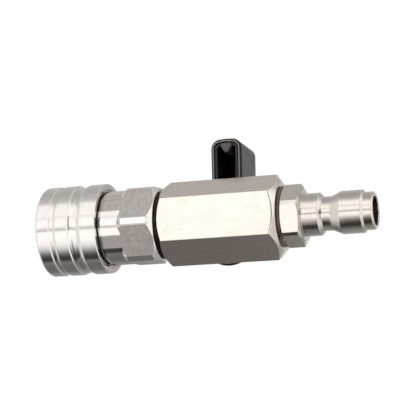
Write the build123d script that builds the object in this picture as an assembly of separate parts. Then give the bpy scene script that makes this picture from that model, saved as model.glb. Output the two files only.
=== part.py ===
from build123d import *
import math
import os

# Pressure washer ball valve with a quick-connect socket at its inlet and a plug at its outlet.
# Millimetres. The origin is the ball's centre, +X runs along the flow to the outlet,
# +Y runs out along the stem and +Z points up, where the lever stands when the valve is shut.

# Fits, as radial or axial gaps
running_gap = 0.05
static_gap = 0.05
slide_gap = 0.15
seat_gap = 0.05
thread_gap = 0.05

# Valve body, a hexagon bar with a flat towards the stem
body_af = 30.0
body_inlet_length = 21.0
body_outlet_length = 28.4
body_face_radius = 13.7
body_chamfer_angle = 33.0

# Ball, seats and flow passage
ball_radius = 8.25
ball_bore_radius = 4.75
passage_radius = 5.5
cavity_radius = 9.0
seat_front = 5.0
seat_back = 9.65
seat_bore_radius = 5.0
seat_ring_width = 1.65
seat_ring_depth = 1.5

# Taper pipe threads, drawn as plain cylinders at their mean size
port_radius = 8.4
inlet_port_depth = 9.7
retainer_port_depth = 11.2
thread_end_gap = 0.8

# Screwed retainer that holds the outlet seat
retainer_thread_radius = 12.0
retainer_recess = 0.6
retainer_nose_length = 1.6
retainer_slot_width = 3.0
retainer_slot_depth = 2.0

# Stem
stem_radius = 3.5
stem_flange_radius = 4.5
stem_flange_thickness = 1.65
stem_neck_length = 4.0
tang_thickness = 3.2
tang_width = 8.0
slot_depth = 2.6
thrust_washer_thickness = 0.85
stem_ring_radius = 0.5
stem_groove_depth = 1.0
stem_groove_width = 1.3
stem_groove_pitch = 1.9
stem_flats_width = 5.0
stem_top_height = 31.0
stem_tapped_depth = 8.0

# Handle, a moulded lever that is hollow and open towards the body
handle_gap = 1.0
handle_depth = 24.3
handle_top = 37.1
handle_tip_width = 13.25
handle_root_width = 13.0
handle_corner_radius = 4.0
handle_dome_height = 0.7
handle_wall = 2.7
handle_web = 2.6
handle_draft = 1.9
handle_back_radius = 1.0
hub_radius = 12.0
hub_tail = 4.2
hub_blend_radius = 3.0
skirt_depth = 2.3
skirt_floor = 1.2
boss_radius = 5.6
boss_recess = 0.9

# Quarter turn stop
stop_pin_radius = 1.25
stop_pin_circle = 7.6
stop_pin_embedded = 4.0
stop_pin_length = 8.5
stop_rib_thickness = 2.2
quarter_turn = 90.0

# Handle screw and washer
screw_radius = 2.0
screw_head_radius = 3.5
screw_head_height = 2.4
screw_hex_radius = 1.45
screw_hex_depth = 1.4
washer_radius = 4.0
washer_thickness = 0.8
screw_pocket_radius = 4.3
screw_pocket_depth = 3.6
screw_reach = 6.5

# Coupler body, a hexagon bar turned down in two steps
coupler_gap = 1.1
coupler_af = 30.0
coupler_large_length = 13.9
coupler_step_height = 1.35
coupler_sleeve_wall = 3.1
coupler_step_chamfer = 0.6
coupler_end_radius = 14.7
coupler_end_chamfer = 2.1
coupler_shoulder_length = 31.0
barrel_radius = 11.2
barrel_length = 18.4
mouth_chamfer = 0.5

# Socket bore for the plug
socket_radius = 8.75
socket_depth = 21.5
socket_relief_depth = 0.4
socket_relief_width = 1.0
socket_relief_offset = 0.5
nose_bore_radius = 7.7
nose_bore_depth = 4.6
socket_ring_radius = 0.85
socket_groove_depth = 1.75
socket_groove_width = 2.1
socket_groove_offset = 1.1

# Locking balls
locking_balls = 6
locking_ball_radius = 2.0
locking_ball_circle = 9.3
locking_ball_setback = 7.2
locking_ball_lift = 1.45
ball_hole_radius = 2.1
ball_lip_radius = 1.94

# Snap ring at the mouth
snap_ring_thickness = 1.2
snap_ring_setback = 1.2
snap_groove_depth = 0.85
snap_ring_width = 3.2
snap_lug_clearance = 1.2
snap_ring_gap_angle = 26.0
snap_lug_radius = 1.9
snap_lug_hole_radius = 0.8

# Sliding sleeve
sleeve_radius = 18.5
sleeve_length = 26.3
sleeve_overhang = 0.3
sleeve_travel = 5.0
sleeve_land_gap = 0.2
sleeve_land_length = 2.3
sleeve_rim_wall = 2.05
sleeve_rim_depth = 3.2
sleeve_end_axial = 1.3
sleeve_end_radial = 1.8
sleeve_rim_round = 0.35
ring_width_front = 6.1
groove_width_front = 2.9
groove_depth_front = 0.7
ring_width_middle = 5.3
groove_width_rear = 5.4
groove_depth_rear = 0.8
groove_shoulder_depth = 0.5
groove_shoulder_run = 0.3

# Sleeve spring
spring_wire_radius = 0.55
spring_turns = 3.0
spring_runs = 20

# Outlet plug
plug_gap = 1.1
plug_af = 22.6
plug_hex_length = 7.9
plug_hex_turn = 11.75
plug_hex_rear_radius = 11.0
plug_hex_rear_angle = 20.0
plug_hex_face_radius = 10.2
plug_hex_chamfer_angle = 22.0
plug_land_radius = 8.6
plug_rear_land_length = 6.45
plug_rear_bevel = 1.5
plug_neck_radius = 6.85
plug_neck_length = 3.3
plug_cone_length = 4.0
plug_land_length = 8.45
plug_shoulder_bevel = 0.85
plug_nose_radius = 7.55
plug_nose_length = 3.15
plug_tip_bevel = 0.7
plug_bore_radius = 5.8

# Places worked out from the sizes above
flat_height = body_af / 2
body_inlet = -body_inlet_length
body_outlet = body_outlet_length
washer_top = flat_height - stem_neck_length
flange_top = washer_top - thrust_washer_thickness - running_gap
flange_bottom = flange_top - stem_flange_thickness
slot_floor = ball_radius - slot_depth
retainer_face = body_outlet - retainer_recess
rim_height = flat_height + handle_gap
handle_back = rim_height + handle_depth
web_front = handle_back - handle_web
pocket_floor = handle_back - screw_pocket_depth
coupler_end = body_inlet - coupler_gap
coupler_step = coupler_end - coupler_large_length
barrel_root = coupler_end - coupler_shoulder_length
mouth = barrel_root - barrel_length
ball_circle_x = mouth + locking_ball_setback
relief_x = ball_circle_x + ball_hole_radius + socket_relief_offset
nose_seat = mouth + socket_depth
nose_floor = nose_seat + nose_bore_depth
socket_groove_x = nose_seat + socket_groove_offset
snap_groove_x = mouth + snap_ring_setback
snap_ring_end = snap_groove_x + snap_ring_thickness
sleeve_front = mouth - sleeve_overhang
sleeve_rim = sleeve_front + sleeve_length
sleeve_rim_radius = sleeve_radius - sleeve_rim_wall
snap_ring_inner = barrel_radius - snap_groove_depth + static_gap
snap_ring_radius = snap_ring_inner + snap_ring_width
snap_lug_circle = snap_ring_inner + snap_lug_radius + 0.2
sleeve_pocket_radius = snap_lug_circle + snap_lug_radius + snap_lug_clearance
land_radius = barrel_radius + sleeve_land_gap
chamber_radius = sleeve_radius - coupler_sleeve_wall
coupler_step_radius = chamber_radius - slide_gap
coupler_radius = coupler_step_radius + coupler_step_height
land_end = ball_circle_x + sleeve_land_length
plug_hex_start = body_outlet + plug_gap
plug_hex_end = plug_hex_start + plug_hex_length
rear_land_end = plug_hex_end + plug_rear_land_length
neck_start = rear_land_end + plug_rear_bevel
neck_end = neck_start + plug_neck_length
land_start = neck_end + plug_cone_length
plug_land_end = land_start + plug_land_length
nose_start = plug_land_end + plug_shoulder_bevel
plug_tip = nose_start + plug_nose_length + plug_tip_bevel


def turned(points):
    """Solid of revolution about the X axis from a closed outline of (x, radius) points."""
    return revolve(make_face(Polyline(points, close=True)), Axis.X)


def rod(radius, start, end):
    """Round bar along X."""
    return turned([(start, 0), (end, 0), (end, radius), (start, radius)])


def tube(outer, inner, start, end):
    """Round tube along X."""
    return turned([(start, inner), (end, inner), (end, outer), (start, outer)])


def o_ring_section(x, y, wire_radius):
    """Section of an O-ring, with eight flat sides around its circle."""
    return Pos(x, y) * RegularPolygon(wire_radius, 8, major_radius=False, rotation=22.5)


def ring_x(x, centre_radius, wire_radius):
    """O-ring about the X axis."""
    return revolve(o_ring_section(x, centre_radius, wire_radius), Axis.X)


def post(radius, start, end):
    """Round bar along Y about the stem axis."""
    return extrude(Plane((0, start, 0), x_dir=(1, 0, 0), z_dir=(0, 1, 0)) * Circle(radius), end - start)


def ring_y(y, centre_radius, wire_radius):
    """O-ring about the Y axis."""
    return revolve(o_ring_section(centre_radius, y, wire_radius), Axis.Y)


def hexagon_bar(across_flats, start, end, turn):
    """Hexagon bar along X; with no turn a flat faces each way along Y."""
    section = RegularPolygon(across_flats / 2, 6, major_radius=False, rotation=30 + turn)
    return extrude(Plane((start, 0, 0), x_dir=(0, 1, 0), z_dir=(1, 0, 0)) * section, end - start)


def corner_radius(across_flats):
    return across_flats / math.sqrt(3)


def chamfer_run(across_flats, face_radius, angle):
    """Length along the bar over which a cone cuts its corners down to the end face's radius."""
    return (corner_radius(across_flats) - face_radius) * math.tan(math.radians(angle))


def faced_blank(across_flats, start, end, start_face, end_face):
    """Turned outline whose cones cut the corners of a hexagon bar; a face is its radius and angle."""
    full = corner_radius(across_flats)
    start_run = chamfer_run(across_flats, *start_face)
    end_run = chamfer_run(across_flats, *end_face)
    return turned([
        (start, 0), (start, start_face[0]), (start + start_run, full),
        (end - end_run, full), (end, end_face[0]), (end, 0),
    ])


def valve_body():
    bar = hexagon_bar(body_af, body_inlet, body_outlet, 0)
    face = (body_face_radius, body_chamfer_angle)
    body = bar & faced_blank(body_af, body_inlet, body_outlet, face, face)
    port_floor = body_inlet + inlet_port_depth
    body -= rod(port_radius, body_inlet, port_floor)
    body -= rod(passage_radius, port_floor, -seat_back)
    body -= rod(cavity_radius, -seat_back, seat_back + retainer_nose_length)
    body -= rod(retainer_thread_radius, seat_back + retainer_nose_length, body_outlet)
    body -= post(stem_flange_radius + running_gap, 0, washer_top)
    body -= post(stem_radius + running_gap, 0, flat_height)
    return body - stop_pin_shape(static_gap)


def stop_pin_shape(gap=0.0):
    """Stop pin, on the inlet side below the stem, or its hole with a gap around it."""
    reach = stop_pin_circle / math.sqrt(2)
    foot = flat_height - stop_pin_embedded
    top = foot + stop_pin_length
    pin = Pos(-reach, 0, -reach) * post(stop_pin_radius + gap, foot, top)
    return pin


def seat(side):
    """Ring seat with a spherical face, a rebate at its back corner for its O-ring."""
    outer = cavity_radius - static_gap
    rebate = cavity_radius - seat_ring_width
    section = make_face(Polyline([
        (seat_front, seat_bore_radius), (seat_front, outer), (seat_back - seat_ring_depth, outer),
        (seat_back - seat_ring_depth, rebate), (seat_back, rebate), (seat_back, seat_bore_radius),
    ], close=True))
    shaped = revolve(section - Circle(ball_radius + seat_gap), Axis.X)
    return shaped if side > 0 else mirror(shaped, Plane.YZ)


def seat_o_ring(side):
    wire = min(seat_ring_width, seat_ring_depth) / 2 - static_gap
    return ring_x(side * (seat_back - seat_ring_depth / 2), cavity_radius - seat_ring_width / 2, wire)


def ball():
    blank = Sphere(ball_radius)
    bore = Cylinder(ball_bore_radius, 3 * ball_radius)
    slot = Box(3 * ball_radius, slot_depth, tang_thickness + 4 * running_gap)
    return blank - bore - Pos(0, slot_floor + slot_depth / 2, 0) * slot


def seat_retainer():
    outer = retainer_thread_radius - thread_gap
    nose = cavity_radius - static_gap
    shoulder = seat_back + retainer_nose_length
    port_floor = retainer_face - retainer_port_depth
    ring_room = 2 * (retainer_nose_length / 2 - static_gap)
    piece = turned([
        (seat_back, passage_radius), (seat_back, nose - ring_room), (shoulder, nose - ring_room),
        (shoulder, outer), (retainer_face, outer), (retainer_face, port_radius),
        (port_floor, port_radius), (port_floor, passage_radius),
    ])
    slot = Box(retainer_slot_depth, 3 * retainer_thread_radius, retainer_slot_width)
    return piece - Pos(retainer_face - retainer_slot_depth / 2, 0, 0) * slot


def retainer_o_ring():
    wire = retainer_nose_length / 2 - 2 * static_gap
    return ring_x(seat_back + retainer_nose_length / 2, cavity_radius - static_gap - wire, wire)


def stem_groove_heights():
    middle = (washer_top + flat_height) / 2
    return [middle - stem_groove_pitch / 2, middle + stem_groove_pitch / 2]


def stem():
    tang = Box(tang_width, flange_bottom - slot_floor - running_gap, tang_thickness)
    tang_middle = (flange_bottom + slot_floor + running_gap) / 2
    piece = (Pos(0, tang_middle, 0) * tang) & post(stem_flange_radius, slot_floor, flange_bottom)
    piece += post(stem_flange_radius, flange_bottom, flange_top)
    piece += post(stem_radius, flange_top, stem_top_height)
    for height in stem_groove_heights():
        start = height - stem_groove_width / 2
        cutter = post(2 * stem_radius, start, start + stem_groove_width)
        piece -= cutter - post(stem_radius - stem_groove_depth, start, start + stem_groove_width)
    flats_start = flat_height + handle_gap
    flats_length = stem_top_height - flats_start
    for side in (-1, 1):
        cut = Box(4 * stem_radius, flats_length, 2 * stem_radius)
        place = side * (stem_flats_width / 2 + stem_radius)
        piece -= Pos(0, flats_start + flats_length / 2, place) * cut
    return piece - post(screw_radius + thread_gap, stem_top_height - stem_tapped_depth, stem_top_height)


def stem_o_ring(height):
    return ring_y(height, stem_radius - stem_groove_depth / 2, stem_ring_radius - static_gap / 2)


def stem_thrust_washer():
    bottom = washer_top - thrust_washer_thickness
    return post(stem_flange_radius, bottom, washer_top) - post(stem_radius + running_gap, bottom, washer_top)


def handle_outline(inset):
    """Lever and hub outline in the plane of the rim, X across and Z up, drawn in by an inset."""
    tip = handle_tip_width / 2 - inset
    root = handle_root_width / 2 - inset
    top = handle_top - inset
    shoulder = top - handle_dome_height
    hub = hub_radius - inset
    lever = make_face([
        Polyline((-tip, shoulder), (-root, 0), (root, 0), (tip, shoulder)),
        ThreePointArc((tip, shoulder), (0, top), (-tip, shoulder)),
    ])
    corners = lever.vertices().sort_by(Axis.Y)[-2:]
    lever = fillet(corners, max(handle_corner_radius - inset, 0.5))
    outline = lever + Circle(hub)
    junctions = outline.vertices().filter_by_position(Axis.Y, 0.4 * hub, hub)
    return fillet(junctions, hub_blend_radius + inset)


def skirt_outline(inset):
    """Outline of the shallow skirt below the hub."""
    skirt = hub_radius - inset
    waist = Pos(0, -hub_tail / 2) * Rectangle(2 * skirt, hub_tail)
    return Circle(skirt) + Pos(0, -hub_tail) * Circle(skirt) + waist


def moulded_block(outline, start, end):
    """Block with moulding draft over an outline, from the rim towards the back."""
    plane = Plane((0, start, 0), x_dir=(-1, 0, 0), z_dir=(0, 1, 0))
    return extrude(plane * outline, end - start, taper=handle_draft)


def stop_rib(angle):
    """Radial rib inside the hub that meets the stop pin, at an angle from +Z towards +X."""
    rib = Box(stop_rib_thickness, web_front - rim_height, hub_radius)
    middle = (web_front + rim_height) / 2
    return Rot(0, angle, 0) * (Pos(0, middle, boss_radius - 1 + hub_radius / 2) * rib)


def handle():
    skirt_back = rim_height + skirt_depth
    outside = moulded_block(handle_outline(0), rim_height, handle_back)
    outside = fillet(outside.faces().sort_by(Axis.Y)[-1].edges(), handle_back_radius)
    outside += moulded_block(skirt_outline(0), rim_height, skirt_back)
    hollow = moulded_block(handle_outline(handle_wall), rim_height, web_front)
    hollow += moulded_block(skirt_outline(handle_wall), rim_height, skirt_back - skirt_floor)
    boss = post(boss_radius, rim_height + boss_recess, handle_back)
    clear = stop_pin_radius + stop_rib_thickness / 2 + running_gap
    margin = math.degrees(math.asin(clear / stop_pin_circle))
    shut_angle = 225 + margin
    open_angle = 225 - quarter_turn - margin
    inside = (boss + stop_rib(shut_angle) + stop_rib(open_angle)) & hollow
    piece = outside - hollow + inside
    flats = Box(4 * stem_radius, stem_top_height - rim_height, stem_flats_width + 4 * static_gap)
    socket = post(stem_radius + 2 * static_gap, rim_height, stem_top_height + 0.5)
    socket &= Pos(0, (rim_height + stem_top_height + 1) / 2, 0) * flats
    piece -= socket
    piece -= post(screw_radius + 0.2, rim_height, handle_back)
    return piece - post(screw_pocket_radius, pocket_floor, handle_back)


def handle_washer():
    top = pocket_floor + washer_thickness
    return post(washer_radius, pocket_floor, top) - post(screw_radius + 0.2, pocket_floor, top)


def handle_screw():
    seat_height = pocket_floor + washer_thickness
    head_top = seat_height + screw_head_height
    head = post(screw_head_radius, seat_height, head_top)
    head = fillet(head.edges().group_by(Axis.Y)[-1], 0.4)
    shank = post(screw_radius, stem_top_height - screw_reach, seat_height)
    plane = Plane((0, head_top - screw_hex_depth, 0), x_dir=(1, 0, 0), z_dir=(0, 1, 0))
    return head + shank - extrude(plane * RegularPolygon(screw_hex_radius, 6), screw_hex_depth)


def coupler_body():
    rear = hexagon_bar(coupler_af, barrel_root, coupler_end, 30)
    rear &= turned([
        (barrel_root, 0), (barrel_root, coupler_step_radius), (coupler_step, coupler_step_radius),
        (coupler_step + coupler_step_chamfer, coupler_radius),
        (coupler_end - coupler_end_chamfer, coupler_radius), (coupler_end, coupler_end_radius),
        (coupler_end, 0),
    ])
    thread_end = body_inlet + inlet_port_depth - thread_end_gap
    thread = port_radius - thread_gap
    groove = barrel_radius - snap_groove_depth
    piece = rear + turned([
        (mouth, 0), (mouth, barrel_radius - mouth_chamfer), (mouth + mouth_chamfer, barrel_radius),
        (snap_groove_x, barrel_radius), (snap_groove_x, groove),
        (snap_ring_end + static_gap, groove), (snap_ring_end + static_gap, barrel_radius),
        (barrel_root + 1, barrel_radius), (barrel_root + 1, thread), (thread_end - 1, thread),
        (thread_end, thread - 1), (thread_end, 0),
    ])
    piece -= turned([
        (mouth - 1, 0), (mouth - 1, socket_radius + mouth_chamfer + 1),
        (mouth + mouth_chamfer, socket_radius), (nose_seat, socket_radius),
        (nose_seat, nose_bore_radius), (nose_floor, nose_bore_radius),
        (nose_floor, passage_radius), (thread_end, passage_radius), (thread_end, 0),
    ])
    piece -= tube(nose_bore_radius + socket_groove_depth, nose_bore_radius - 1,
                  socket_groove_x, socket_groove_x + socket_groove_width)
    piece -= tube(socket_radius + socket_relief_depth, socket_radius - 1,
                  relief_x, relief_x + socket_relief_width)
    for index in range(locking_balls):
        piece -= ball_hole(index)
    return piece


def ball_hole(index):
    """Radial hole that narrows at the socket's wall, so that its ball can't fall in."""
    seat_radius = (socket_radius + locking_ball_circle) / 2 + 0.45
    hole = revolve(make_face(Polyline([
        (0, socket_radius - 1), (ball_lip_radius, socket_radius - 1), (ball_lip_radius, socket_radius),
        (ball_hole_radius, seat_radius), (ball_hole_radius, barrel_radius + 1), (0, barrel_radius + 1),
    ], close=True)), Axis.Y)
    return Pos(ball_circle_x, 0, 0) * (Rot(ball_angle(index), 0, 0) * hole)


def ball_angle(index):
    return index * 360 / locking_balls


def locking_ball(index):
    place = Pos(0, locking_ball_circle, 0) * Sphere(locking_ball_radius)
    return Pos(ball_circle_x, 0, 0) * (Rot(ball_angle(index), 0, 0) * place)


def cam_radius(x):
    """Inside radius of the sleeve's cone, which stays clear of the balls as they lift."""
    slope = locking_ball_lift / sleeve_travel
    clear = (locking_ball_radius + 0.08) * math.sqrt(1 + slope * slope)
    return locking_ball_circle + clear + slope * (ball_circle_x - x)


def coupler_sleeve():
    slope = locking_ball_lift / sleeve_travel
    cone_end = ball_circle_x + (cam_radius(ball_circle_x) - land_radius) / slope
    stop_face = snap_ring_end + static_gap
    front_groove = sleeve_front + ring_width_front
    middle_ring = front_groove + groove_width_front
    rear_groove = middle_ring + ring_width_middle
    rear_ring = rear_groove + groove_width_rear
    low_front = sleeve_radius - groove_depth_front
    low_rear = sleeve_radius - groove_depth_rear
    shoulder = (rear_groove + groove_shoulder_run, sleeve_radius - groove_shoulder_depth)
    outline = [
        Line((sleeve_front + sleeve_end_axial, sleeve_radius), (front_groove, sleeve_radius)),
        Line((front_groove, sleeve_radius), (front_groove + 0.4, low_front)),
        ThreePointArc((front_groove + 0.4, low_front), (front_groove + 1.6, low_front + 0.1),
                      (middle_ring, sleeve_radius)),
        Line((middle_ring, sleeve_radius), (rear_groove, sleeve_radius)),
        Line((rear_groove, sleeve_radius), shoulder),
        ThreePointArc(shoulder, (rear_groove + 2.2, low_rear), (rear_ring, sleeve_radius)),
        Line((rear_ring, sleeve_radius), (sleeve_rim - sleeve_rim_round, sleeve_radius)),
        Polyline((sleeve_rim - sleeve_rim_round, sleeve_radius),
                 (sleeve_rim, sleeve_radius - sleeve_rim_round), (sleeve_rim, sleeve_rim_radius),
                 (sleeve_rim - sleeve_rim_depth, sleeve_rim_radius),
                 (sleeve_rim - sleeve_rim_depth, chamber_radius), (land_end, chamber_radius),
                 (land_end, land_radius), (cone_end, land_radius),
                 (stop_face, cam_radius(stop_face)), (stop_face, sleeve_pocket_radius),
                 (sleeve_front, sleeve_pocket_radius),
                 (sleeve_front, sleeve_radius - sleeve_end_radial)),
        ThreePointArc((sleeve_front, sleeve_radius - sleeve_end_radial),
                      (sleeve_front + 0.35 * sleeve_end_axial, sleeve_radius - 0.28 * sleeve_end_radial),
                      (sleeve_front + sleeve_end_axial, sleeve_radius)),
    ]
    return revolve(make_face(outline), Axis.X)


def snap_ring():
    """Open ring with two lugs for circlip pliers."""
    half_gap = snap_ring_gap_angle / 2
    plane = Plane((snap_groove_x + static_gap / 2, 0, 0), x_dir=(0, 1, 0), z_dir=(1, 0, 0))
    thickness = snap_ring_thickness - static_gap
    band = Circle(snap_ring_radius) - Circle(snap_ring_inner)
    mouth_cut = make_face(Polyline([
        (0, 0), (2 * snap_ring_radius, 2 * snap_ring_radius * math.tan(math.radians(half_gap))),
        (2 * snap_ring_radius, -2 * snap_ring_radius * math.tan(math.radians(half_gap))),
    ], close=True))
    profile = band - mouth_cut
    for side in (-1, 1):
        lug = Rot(0, 0, side * (half_gap + 7)) * (Pos(snap_lug_circle, 0) * Circle(snap_lug_radius))
        profile += lug
    for side in (-1, 1):
        profile -= Rot(0, 0, side * (half_gap + 7)) * (Pos(snap_lug_circle, 0) * Circle(snap_lug_hole_radius))
    return extrude(plane * profile, thickness)


def coupler_o_ring():
    middle = socket_groove_x + socket_groove_width / 2
    outer = nose_bore_radius + socket_groove_depth
    return ring_x(middle, outer - static_gap - socket_ring_radius, socket_ring_radius)


def sleeve_spring():
    """Coil spring about the X axis, each turn in short straight runs of eight-sided wire."""
    start = land_end + spring_wire_radius + running_gap
    room = barrel_root - spring_wire_radius - running_gap - start
    centre = (barrel_radius + chamber_radius) / 2
    runs = round(spring_turns * spring_runs)
    points = []
    for index in range(runs + 1):
        angle = 2 * math.pi * index / spring_runs
        x = start + room * index / runs
        points.append((x, centre * math.cos(angle), centre * math.sin(angle)))
    path = Polyline(points)
    wire = Plane(origin=path @ 0, z_dir=path % 0) * RegularPolygon(spring_wire_radius, 8)
    return sweep(wire, path=path, transition=Transition.RIGHT)


def plug():
    bar = hexagon_bar(plug_af, plug_hex_start, plug_hex_end, plug_hex_turn)
    rear = (plug_hex_rear_radius, plug_hex_rear_angle)
    front = (plug_hex_face_radius, plug_hex_chamfer_angle)
    piece = bar & faced_blank(plug_af, plug_hex_start, plug_hex_end, rear, front)
    thread = port_radius - thread_gap
    thread_start = retainer_face - retainer_port_depth + thread_end_gap
    piece += turned([
        (thread_start, 0), (thread_start, thread - 1), (thread_start + 1, thread),
        (plug_hex_start + 1, thread), (plug_hex_start + 1, plug_land_radius),
        (rear_land_end, plug_land_radius), (neck_start, plug_neck_radius),
        (neck_end, plug_neck_radius), (land_start, plug_land_radius),
        (plug_land_end, plug_land_radius), (nose_start, plug_nose_radius),
        (plug_tip - plug_tip_bevel, plug_nose_radius), (plug_tip, plug_nose_radius - plug_tip_bevel),
        (plug_tip, 0),
    ])
    return piece - rod(plug_bore_radius, thread_start, plug_tip)


pieces = {
    "valve_body": valve_body(),
    "stop_pin": stop_pin_shape(),
    "inlet_seat": seat(-1),
    "outlet_seat": seat(1),
    "inlet_seat_o_ring": seat_o_ring(-1),
    "outlet_seat_o_ring": seat_o_ring(1),
    "seat_retainer": seat_retainer(),
    "retainer_o_ring": retainer_o_ring(),
    "ball": ball(),
    "stem": stem(),
    "stem_thrust_washer": stem_thrust_washer(),
    "stem_o_ring_inner": stem_o_ring(stem_groove_heights()[0]),
    "stem_o_ring_outer": stem_o_ring(stem_groove_heights()[1]),
    "handle": handle(),
    "handle_washer": handle_washer(),
    "handle_screw": handle_screw(),
    "coupler_body": coupler_body(),
    "coupler_o_ring": coupler_o_ring(),
    "coupler_sleeve": coupler_sleeve(),
    "sleeve_spring": sleeve_spring(),
    "snap_ring": snap_ring(),
    "plug": plug(),
}
for index in range(locking_balls):
    pieces["locking_ball_" + str(index + 1)] = locking_ball(index)

os.makedirs("parts", exist_ok=True)
for node, solid in pieces.items():
    export_step(solid, "parts/" + node + ".step")
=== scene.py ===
import math

import bmesh
import bpy
from mathutils import Matrix, Vector


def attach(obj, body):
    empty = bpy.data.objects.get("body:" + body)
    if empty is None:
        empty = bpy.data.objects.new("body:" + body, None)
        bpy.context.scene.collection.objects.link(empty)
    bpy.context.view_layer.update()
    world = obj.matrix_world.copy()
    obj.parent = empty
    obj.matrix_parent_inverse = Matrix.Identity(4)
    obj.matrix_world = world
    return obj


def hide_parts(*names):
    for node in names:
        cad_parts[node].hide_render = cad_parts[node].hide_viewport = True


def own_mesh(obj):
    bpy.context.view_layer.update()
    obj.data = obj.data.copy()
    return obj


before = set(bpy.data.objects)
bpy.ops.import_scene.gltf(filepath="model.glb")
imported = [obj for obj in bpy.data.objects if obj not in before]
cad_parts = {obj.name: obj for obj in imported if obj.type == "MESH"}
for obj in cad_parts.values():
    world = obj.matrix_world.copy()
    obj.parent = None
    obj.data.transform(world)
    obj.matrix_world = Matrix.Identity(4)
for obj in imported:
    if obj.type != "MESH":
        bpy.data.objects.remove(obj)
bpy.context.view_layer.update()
mm = 0.001
print("frame loaded with", len(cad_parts), "nodes")

# sizes are in millimetres and angles in degrees; X runs along the flow, Y out along the stem, Z up


# helpers for shapes

meshCare = {
    "weld": 0.0008, "sliver": 0.0004,  # millimetres: nearer points are joined, thinner faces dropped
    "flatLead": 80,  # how far large faces lead the shading
    "sharpestTurn": 2.6, "edgeShare": 0.45,  # a rounded corner's greatest turn and share of an edge
    "closest": 0.08,  # degrees between neighbouring sections
}
# angles beside a hexagon's edge at which its section is drawn too, so that the edge stays crisp
besideEdge = (-2.2, -1.5, -1.0, -0.7, -0.45, -0.2, 0, 0.2, 0.45, 0.7, 1.0, 1.5, 2.2)


def roundedLoop(corners, steps=3):
    # corners is a closed loop of (point, radius); each corner with a radius becomes a short arc
    points = []
    count = len(corners)
    for index, (corner, radius) in enumerate(corners):
        if radius <= 0:
            points.append(corner.copy())
            continue
        before = corners[index - 1][0] - corner
        after = corners[(index + 1) % count][0] - corner
        reach = 0.0
        if before.length > 1e-6 and after.length > 1e-6:
            turn = math.pi - before.angle(after)
            reach = radius * math.tan(min(turn, meshCare["sharpestTurn"]) / 2)
            reach = min(reach, meshCare["edgeShare"] * before.length, meshCare["edgeShare"] * after.length)
        start = corner + (before.normalized() * reach if reach else Vector())
        end = corner + (after.normalized() * reach if reach else Vector())
        for step in range(steps + 1):
            s = step / steps
            points.append(start * (1 - s) ** 2 + corner * 2 * s * (1 - s) + end * s * s)
    return points


def smoothMin(first, second, blend):
    # the smaller of two radii, rounded off where they are nearly the same
    share = max(blend - abs(first - second), 0) / blend
    return min(first, second) - share * share * blend / 4


def hexRadius(angle, acrossFlats, cornerRound, turn):
    # distance from the axis to a hexagon's side; the middle of a flat lies at the turn angle
    half = acrossFlats / 2
    offset = (angle - turn + 30) % 60 - 30
    inner = half - cornerRound
    edge = math.degrees(math.atan(inner * math.tan(math.radians(30)) / half))
    if abs(offset) <= edge:
        return half / math.cos(math.radians(offset))
    reach = inner / math.cos(math.radians(30))
    away = math.radians(30 - abs(offset))
    return reach * math.cos(away) + math.sqrt(max(cornerRound ** 2 - (reach * math.sin(away)) ** 2, 0))


def angleSteps(turn=0.0, coarse=3.0, marks=(30.0,)):
    # angles round the axis, closer together where a hexagon's corners or flat edges are
    angles = set()
    value = 0.0
    while value < 360:
        angles.add(round(value, 3))
        value += coarse
    for side in range(6):
        for mark in marks:
            for near in besideEdge:
                for sign in (-1, 1):
                    angles.add(round((turn + side * 60 + sign * mark + near) % 360, 3))
    ordered = sorted(angles)
    kept = [ordered[0]]
    for value in ordered[1:]:
        if value - kept[-1] > meshCare["closest"]:
            kept.append(value)
    return kept


def addObject(name, data):
    added = bpy.data.objects.new(name, data)
    bpy.context.collection.objects.link(added)
    return added


def evenShading(piece, keepSharp=False):
    # large faces lead the shading, so that a flat looks flat up to its rounded edge
    weighted = piece.modifiers.new("even shading", "WEIGHTED_NORMAL")
    weighted.mode = "FACE_AREA"
    weighted.weight = meshCare["flatLead"]
    weighted.keep_sharp = keepSharp


def keepShape(piece):
    # makes what the piece's modifiers do part of its mesh
    bpy.context.view_layer.update()
    evaluated = piece.evaluated_get(bpy.context.evaluated_depsgraph_get())
    mesh = bpy.data.meshes.new_from_object(evaluated)
    piece.modifiers.clear()
    piece.data = mesh


def finishMesh(name, mesh, materials, chooser=None):
    # welds the mesh, turns its faces outwards, shades it smooth and gives it its materials
    work = bmesh.new()
    work.from_mesh(mesh)
    bmesh.ops.remove_doubles(work, verts=work.verts, dist=meshCare["weld"])
    bmesh.ops.dissolve_degenerate(work, edges=work.edges, dist=meshCare["sliver"])
    bmesh.ops.recalc_face_normals(work, faces=work.faces)
    for face in work.faces:
        face.smooth = True
        if chooser:
            face.material_index = chooser(face.calc_center_median(), face.normal)
    bmesh.ops.scale(work, vec=(mm, mm, mm), verts=work.verts)
    work.to_mesh(mesh)
    work.free()
    for material in materials:
        mesh.materials.append(material)
    piece = addObject(name, mesh)
    evenShading(piece, True)
    return piece


def gridMesh(name, rings):
    # rings are equal lists of points; neighbours are joined, and the last ring to the first
    width = len(rings[0])
    faces = []
    for row in range(len(rings)):
        following = (row + 1) % len(rings)
        for column in range(width):
            beside = (column + 1) % width
            faces.append((row * width + column, following * width + column,
                          following * width + beside, row * width + beside))
    mesh = bpy.data.meshes.new(name)
    mesh.from_pydata([tuple(point) for ring in rings for point in ring], [], faces)
    return mesh


def spunMesh(name, loopAt, angles, steps=3, about="X"):
    # loopAt(angle) gives (place along the axis, radius, rounding) corners of the section there
    rings = []
    for angle in angles:
        cosine = math.cos(math.radians(angle))
        sine = math.sin(math.radians(angle))
        corners = [(Vector((along, radius, 0)), rounding) for along, radius, rounding in loopAt(angle)]
        points = roundedLoop(corners, steps)
        if about == "X":
            rings.append([Vector((p.x, p.y * cosine, p.y * sine)) for p in points])
        else:
            rings.append([Vector((p.y * sine, p.x, p.y * cosine)) for p in points])
    return gridMesh(name, rings)


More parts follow.
